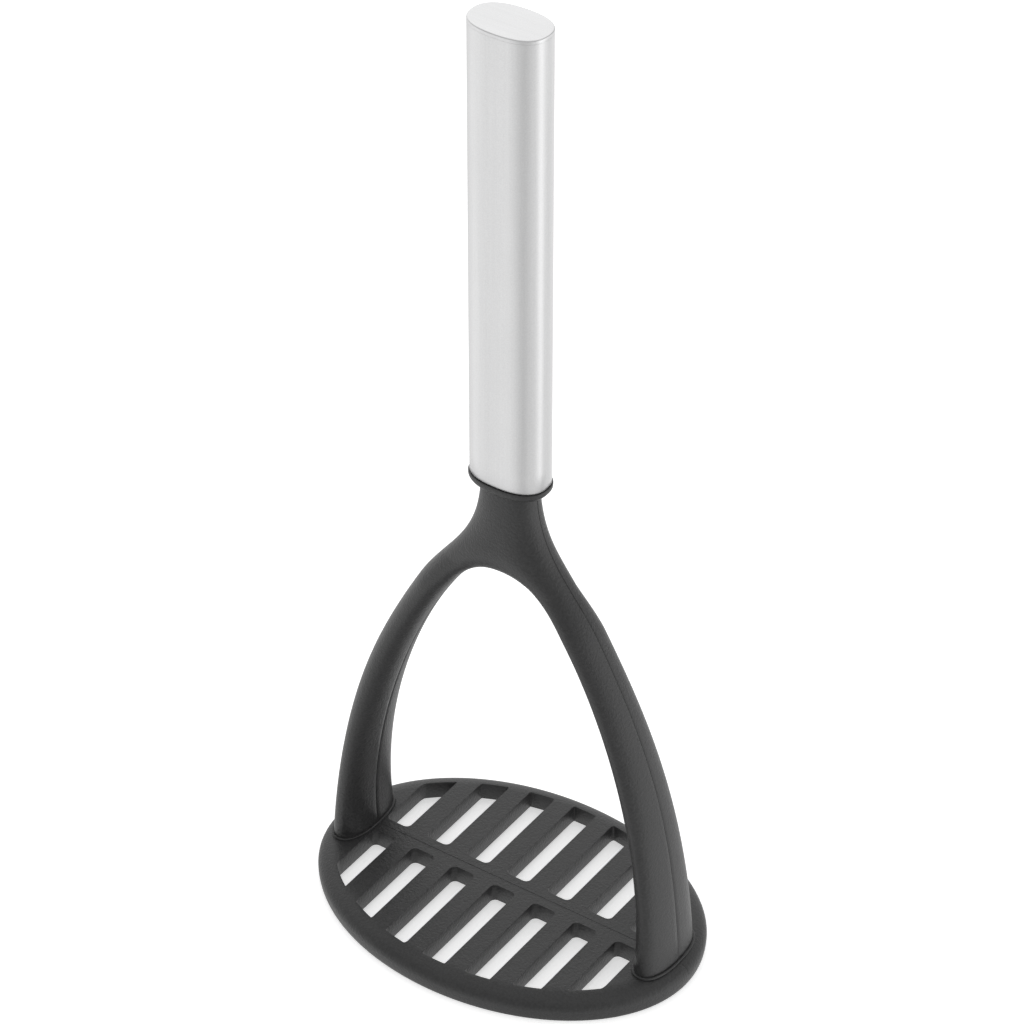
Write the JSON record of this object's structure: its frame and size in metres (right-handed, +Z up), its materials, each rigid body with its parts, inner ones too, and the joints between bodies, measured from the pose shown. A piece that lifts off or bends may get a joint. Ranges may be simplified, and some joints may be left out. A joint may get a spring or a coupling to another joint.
{
  "type": "potato masher",
  "caption": "Free-standing potato masher: slotted oval nylon plate on a forked black carrier, with an oval brushed steel handle tube and a flush steel end cap.",
  "frame": {"origin": "on the floor under the middle of the plate and of the whole object", "axes": "X along the plate's long axis and the handle's wide side, Y along the plate's short axis, Z up along the handle"},
  "size_m": [0.108, 0.0774, 0.26],
  "materials": {
    "plate_nylon": "black, fine grain",
    "yoke_nylon": "black, fine grain",
    "seal_rubber": "matt black",
    "tang_steel": "mill",
    "core_plastic": "moulded",
    "pin_steel": "ground",
    "tube_steel": "satin, brushed along its length",
    "cap_steel": "satin"
  },
  "bodies": {
    "root": {"masher_plate": "plate_nylon", "yoke": "yoke_nylon", "seal_ring": "seal_rubber", "tang_bar": "tang_steel", "handle_core": "core_plastic", "core_pin_lower": "pin_steel", "core_pin_upper": "pin_steel", "handle_tube": "tube_steel", "end_cap": "cap_steel"}
  },
  "joints": []
}
